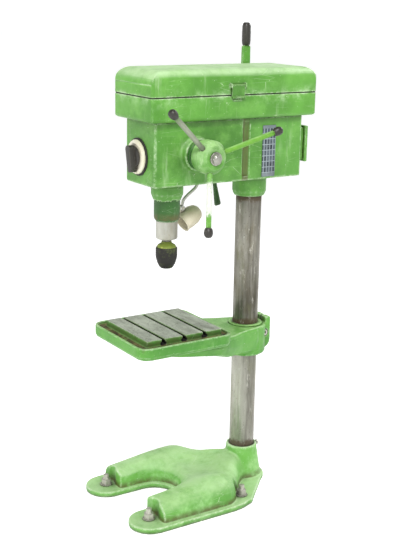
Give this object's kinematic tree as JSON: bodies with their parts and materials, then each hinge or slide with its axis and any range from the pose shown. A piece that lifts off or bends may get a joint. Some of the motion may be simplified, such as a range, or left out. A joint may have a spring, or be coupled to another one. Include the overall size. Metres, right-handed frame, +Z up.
{
  "type": "drill press",
  "caption": "Pillar drilling machine with forked base, round column, T-slotted table, belt head under a hinged guard, spoked feed and lamp",
  "frame": {"origin": "on the floor on the column axis, at the centre of the base's solid boss", "axes": "+Z up along the column, -Y towards the operator and the spindle, +X towards the feed capstan"},
  "size_m": [0.378, 0.5857, 1.2833],
  "materials": {
    "green_enamel": "worn semi-gloss enamel, chalky edges, grime in the corners",
    "worn_steel": "dull turned steel with brown staining",
    "black_iron": "blackened steel, rubbed edges",
    "cast_iron": "turned cast iron",
    "black_plastic": "worn phenolic",
    "black_rubber": "matt rubber",
    "ivory_plastic": "yellowed moulding",
    "cream_enamel": "yellowed cream enamel, grime at the rim",
    "lamp_glass": "frosted glass"
  },
  "bodies": {
    "base": {"base_casting": "green_enamel", "column_tube": "worn_steel", "base_socket_screw": "worn_steel", "base_bolt_1": "worn_steel", "base_bolt_2": "worn_steel", "base_bolt_3": "worn_steel", "base_bolt_4": "worn_steel"},
    "table_carriage": {"table_liner": "green_enamel"},
    "table": {"table_casting": "green_enamel", "table_clamp_bolt": "worn_steel"},
    "table_lever": {"table_clamp_lever": "black_iron"},
    "head": {"head_casting": "green_enamel", "quill_guide": "green_enamel", "head_clamp_bolt": "worn_steel", "speed_plate": "worn_steel", "switch_gasket": "black_rubber", "switch_body": "ivory_plastic", "terminal_box": "green_enamel", "terminal_cover": "green_enamel", "cable_gland": "black_iron", "guard_pan": "green_enamel", "lid_seal": "black_rubber", "lid_hinge_pin": "worn_steel", "sleeve_bearing": "worn_steel", "spring_housing": "green_enamel", "return_spring": "worn_steel", "drive_belt": "black_rubber"},
    "head_lever": {"head_clamp_lever": "green_enamel"},
    "switch": {"switch_knob": "black_plastic"},
    "lid": {"guard_lid": "green_enamel"},
    "latch": {"lid_latch": "green_enamel"},
    "quill_body": {"quill": "worn_steel", "lower_bearing": "worn_steel", "upper_bearing": "worn_steel"},
    "spindle": {"spindle_shaft": "worn_steel", "chuck_body": "black_iron"},
    "chuck_sleeve": {"chuck_sleeve": "black_iron"},
    "jaw_1": {"chuck_jaw_1": "worn_steel"},
    "jaw_2": {"chuck_jaw_2": "worn_steel"},
    "jaw_3": {"chuck_jaw_3": "worn_steel"},
    "feed": {"pinion_shaft": "worn_steel", "feed_hub": "green_enamel", "hub_nut": "worn_steel", "spoke_1": "green_enamel", "spoke_2": "green_enamel", "spoke_3": "green_enamel", "knob_1": "black_plastic", "knob_2": "black_plastic", "knob_3": "black_plastic"},
    "depth_ring": {"depth_ring": "green_enamel"},
    "drive": {"spindle_pulley": "cast_iron"},
    "motor": {"motor_body": "black_iron", "motor_plate": "black_iron"},
    "rotor": {"motor_shaft": "worn_steel", "motor_pulley": "cast_iron"},
    "tension": {"belt_tension_lever": "green_enamel", "lever_grip": "black_plastic"},
    "lamp_arm": {"lamp_arm": "worn_steel"},
    "lamp_head": {"lamp_shade": "cream_enamel", "lamp_bulb": "lamp_glass"}
  },
  "joints": [
    {"name": "table_lift", "type": "slide", "parent": "base", "child": "table_carriage", "axis": [0, 0, 1], "range_m": [-0.22, 0.09]},
    {"name": "table_swing", "type": "hinge", "parent": "table_carriage", "child": "table", "pos_m": [0, 0, 0.425], "axis": [0, 0, 1], "range_deg": [-180, 180]},
    {"name": "table_clamp_turn", "type": "hinge", "parent": "table", "child": "table_lever", "pos_m": [-0.0373, 0.051, 0.437], "axis": [1, 0, 0], "range_deg": [0, 90]},
    {"name": "head_swing", "type": "hinge", "parent": "base", "child": "head", "pos_m": [0, 0, 0.9], "axis": [0, 0, 1], "range_deg": [-90, 90]},
    {"name": "head_clamp_turn", "type": "hinge", "parent": "head", "child": "head_lever", "pos_m": [-0.082, -0.068, 0.907], "axis": [1, 0, 0], "range_deg": [-70, 0]},
    {"name": "switch_turn", "type": "hinge", "parent": "head", "child": "switch", "pos_m": [-0.008, -0.36, 0.956], "axis": [0, 1, 0], "range_deg": [-60, 60]},
    {"name": "lid_open", "type": "hinge", "parent": "head", "child": "lid", "pos_m": [0, 0.148, 1.1109], "axis": [-1, 0, 0], "range_deg": [0, 85]},
    {"name": "latch_lift", "type": "hinge", "parent": "lid", "child": "latch", "pos_m": [0.098, -0.112, 1.1355], "axis": [0, -1, 0], "range_deg": [0, 80]},
    {"name": "quill_feed", "type": "slide", "parent": "head", "child": "quill_body", "axis": [0, 0, 1], "range_m": [-0.06, 0], "stiffness_N_per_m": 500, "springref_m": 0.24},
    {"name": "spindle_turn", "type": "hinge", "parent": "quill_body", "child": "spindle", "pos_m": [0, -0.26, 0.85], "axis": [0, 0, 1], "continuous": true},
    {"name": "chuck_sleeve_turn", "type": "hinge", "parent": "spindle", "child": "chuck_sleeve", "pos_m": [0, -0.26, 0.69], "axis": [0, 0, 1], "range_deg": [0, 1440]},
    {"name": "jaw_1_travel", "type": "slide", "parent": "spindle", "child": "jaw_1", "axis": [0.1294, 0.2241, 0.9659], "range_m": [0, 0.0121]},
    {"name": "jaw_2_travel", "type": "slide", "parent": "spindle", "child": "jaw_2", "axis": [-0.2588, 0, 0.9659], "range_m": [0, 0.0121]},
    {"name": "jaw_3_travel", "type": "slide", "parent": "spindle", "child": "jaw_3", "axis": [0.1294, -0.2241, 0.9659], "range_m": [0, 0.0121]},
    {"name": "feed_turn", "type": "hinge", "parent": "head", "child": "feed", "pos_m": [0, -0.221, 0.966], "axis": [1, 0, 0], "range_deg": [0, 246]},
    {"name": "depth_ring_turn", "type": "hinge", "parent": "feed", "child": "depth_ring", "pos_m": [0.104, -0.221, 0.966], "axis": [1, 0, 0], "range_deg": [-170, 170]},
    {"name": "drive_turn", "type": "hinge", "parent": "head", "child": "drive", "pos_m": [0, -0.26, 1.118], "axis": [0, 0, 1], "continuous": true},
    {"name": "motor_tension_slide", "type": "slide", "parent": "head", "child": "motor", "axis": [0, 1, 0], "range_m": [-0.014, 0]},
    {"name": "motor_turn", "type": "hinge", "parent": "motor", "child": "rotor", "pos_m": [0, 0.048, 1.118], "axis": [0, 0, 1], "continuous": true},
    {"name": "tension_lever_swing", "type": "hinge", "parent": "head", "child": "tension", "pos_m": [-0.09, 0.053, 1.01], "axis": [-1, 0, 0], "range_deg": [0, 60.5]},
    {"name": "lamp_swivel", "type": "hinge", "parent": "head", "child": "lamp_arm", "pos_m": [-0.04, -0.14, 0.885], "axis": [0, 0, 1], "range_deg": [-60, 60]},
    {"name": "lamp_tilt", "type": "hinge", "parent": "lamp_arm", "child": "lamp_head", "pos_m": [-0.04, -0.19, 0.805], "axis": [1, 0, 0], "range_deg": [-25, 25]}
  ],
  "couplings": [
    {"joint": "feed_turn", "follows": "quill_feed", "rad_per_m": -71.429},
    {"joint": "spindle_turn", "follows": "drive_turn", "ratio": 1},
    {"joint": "motor_turn", "follows": "drive_turn", "ratio": 1},
    {"joint": "tension_lever_swing", "follows": "motor_tension_slide", "rad_per_m": -74.8},
    {"joint": "jaw_1_travel", "follows": "chuck_sleeve_turn", "m_per_rad": 0.00047746},
    {"joint": "jaw_2_travel", "follows": "chuck_sleeve_turn", "m_per_rad": 0.00047746},
    {"joint": "jaw_3_travel", "follows": "chuck_sleeve_turn", "m_per_rad": 0.00047746}
  ]
}
